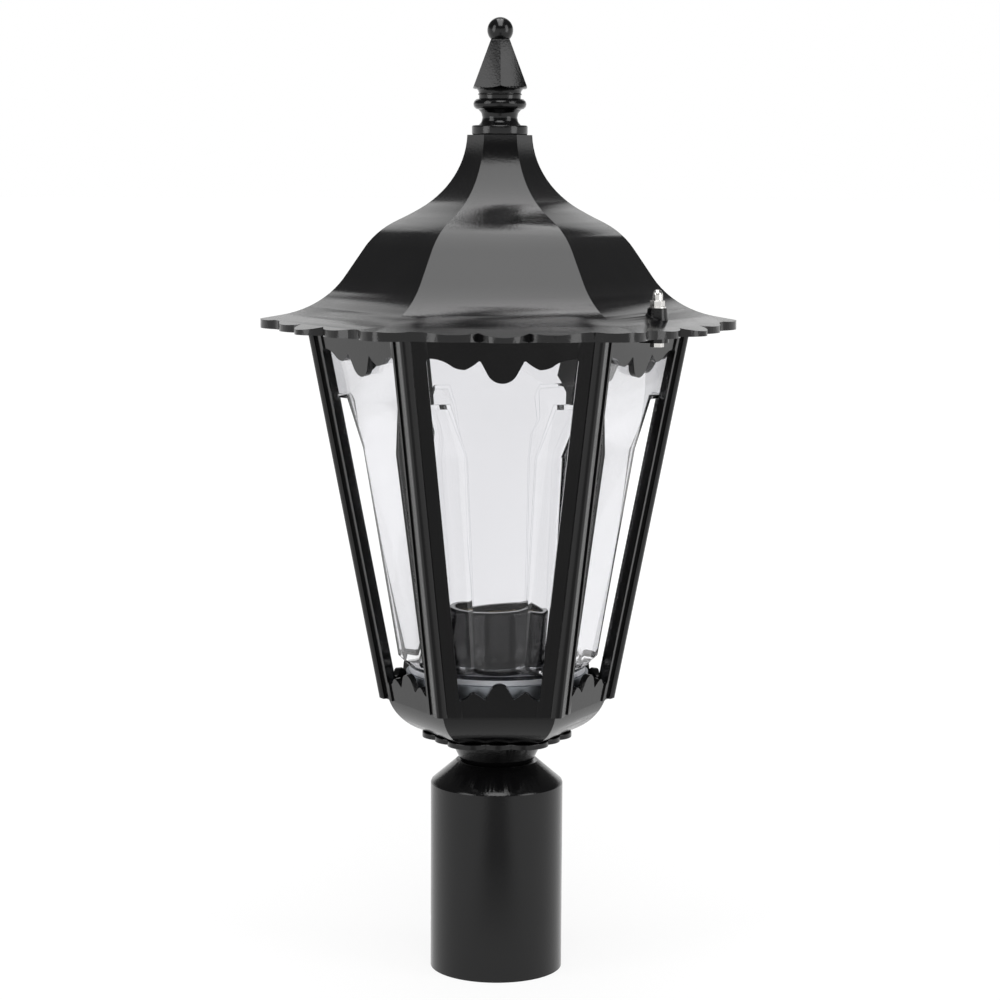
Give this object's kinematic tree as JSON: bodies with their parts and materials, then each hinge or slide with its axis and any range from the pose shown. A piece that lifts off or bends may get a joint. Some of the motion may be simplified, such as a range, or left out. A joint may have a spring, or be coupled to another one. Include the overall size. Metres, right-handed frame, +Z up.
{
  "type": "post top lantern",
  "caption": "Hexagonal post top garden lantern in black cast aluminium with a bell roof, scalloped rim, clear moulded insert and a collar that slips over a round post.",
  "frame": {"origin": "centre of the post collar's lower end", "axes": "+Z up along the post; one flat face of the cage looks along -Y; corners lie on +X and -X"},
  "size_m": [0.2478, 0.2358, 0.5002],
  "materials": {
    "black_coat": "satin black powder coat on cast aluminium",
    "clear_acrylic": "clear moulded acrylic, faintly lilac",
    "holder_black": "glossy black thermoset moulding",
    "stainless": "bright stainless steel",
    "zinc_steel": "bright zinc-plated steel",
    "nickel_brass": "nickel-plated brass",
    "brass": "plain brass",
    "ceramic": "white steatite",
    "clear_silicone": "translucent silicone",
    "black_rubber": "black closed-cell EPDM",
    "white_nylon": "natural polyamide",
    "lead_insulation": "white silicone insulation"
  },
  "bodies": {
    "lantern_body": {"post_collar": "black_coat", "collar_grub_screws": "stainless", "neck_plate": "black_coat", "base_bowl": "black_coat", "threaded_tube": "zinc_steel", "tube_lock_nuts": "zinc_steel", "tube_washers": "zinc_steel", "cage": "black_coat", "cage_screws": "zinc_steel", "mounting_plate": "zinc_steel", "plate_screws": "zinc_steel", "insert_gasket": "clear_silicone", "clear_insert": "clear_acrylic", "roof_gasket": "black_rubber", "holder_body": "holder_black", "holder_insulator": "ceramic", "holder_screw_shell": "nickel_brass", "holder_contact": "nickel_brass", "holder_screws": "zinc_steel", "holder_leads": "lead_insulation", "terminal_block": "white_nylon", "terminal_screws": "zinc_steel", "earth_screw": "brass", "closure_bolts": "stainless"},
    "roof": {"roof_shell": "black_coat", "finial": "black_coat", "finial_stud": "zinc_steel", "finial_washer": "zinc_steel", "finial_nut": "zinc_steel", "closure_washers": "stainless"},
    "right_cap_nut": {"cap_nut_right": "stainless"},
    "left_cap_nut": {"cap_nut_left": "stainless"}
  },
  "joints": [
    {"name": "roof_lift", "type": "slide", "parent": "lantern_body", "child": "roof", "axis": [0, 0, 1], "range_m": [0, 0.12]},
    {"name": "right_nut_turn", "type": "hinge", "parent": "roof", "child": "right_cap_nut", "pos_m": [0.0788, -0.04549, 0.358], "axis": [0, 0, 1], "continuous": true},
    {"name": "left_nut_turn", "type": "hinge", "parent": "roof", "child": "left_cap_nut", "pos_m": [-0.0788, 0.04549, 0.358], "axis": [0, 0, 1], "continuous": true}
  ]
}
